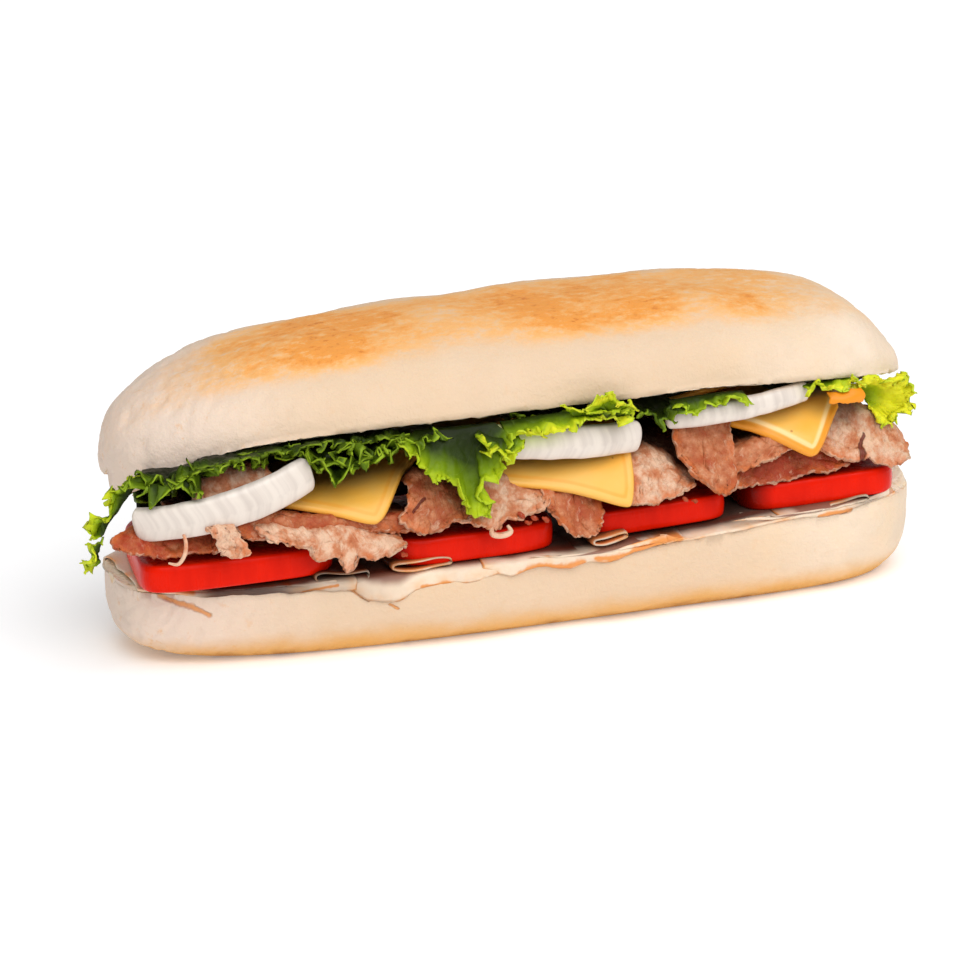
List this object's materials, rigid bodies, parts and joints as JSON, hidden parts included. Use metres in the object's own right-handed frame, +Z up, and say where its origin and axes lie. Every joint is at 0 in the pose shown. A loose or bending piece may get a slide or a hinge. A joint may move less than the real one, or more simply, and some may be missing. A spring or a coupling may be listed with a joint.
{
  "type": "submarine sandwich",
  "caption": "Long soft bread roll cut lengthwise and filled with sliced turkey, tomato, roast pork, cheese, onion and frilly lettuce.",
  "frame": {"origin": "middle of the base of the bounding box, on the flat underside of the roll", "axes": "+X along the roll towards the end that stands fuller of filling, +Y towards the back (the open, served side faces -Y), +Z up"},
  "size_m": [0.2546, 0.0956, 0.0951],
  "materials": {
    "crust": "matte",
    "turkey": "satin",
    "tomato": "gloss",
    "roast_pork": "satin",
    "cheese": "satin",
    "onion": "gloss",
    "lettuce": "satin"
  },
  "bodies": {
    "root": {"heel": "crust", "crown": "crust", "turkey_slice_1": "turkey", "turkey_slice_2": "turkey", "turkey_slice_3": "turkey", "turkey_slice_4": "turkey", "tomato_slice_1": "tomato", "tomato_slice_2": "tomato", "tomato_slice_3": "tomato", "tomato_slice_4": "tomato", "pork_slice_1": "roast_pork", "pork_slice_2": "roast_pork", "pork_slice_3": "roast_pork", "pork_slice_4": "roast_pork", "pork_slice_5": "roast_pork", "pork_slice_6": "roast_pork", "pork_slice_7": "roast_pork", "pork_slice_8": "roast_pork", "pork_slice_9": "roast_pork", "pork_slice_10": "roast_pork", "pork_slice_11": "roast_pork", "pork_slice_12": "roast_pork", "pork_slice_13": "roast_pork", "cheese_slice_1": "cheese", "cheese_slice_2": "cheese", "cheese_slice_3": "cheese", "cheese_slice_4": "cheese", "cheese_slice_5": "cheese", "onion_arc_1": "onion", "onion_arc_2": "onion", "onion_arc_3": "onion", "onion_arc_4": "onion", "lettuce_leaf_1": "lettuce", "lettuce_leaf_2": "lettuce", "lettuce_leaf_3": "lettuce", "lettuce_leaf_4": "lettuce", "lettuce_leaf_5": "lettuce"}
  },
  "joints": []
}
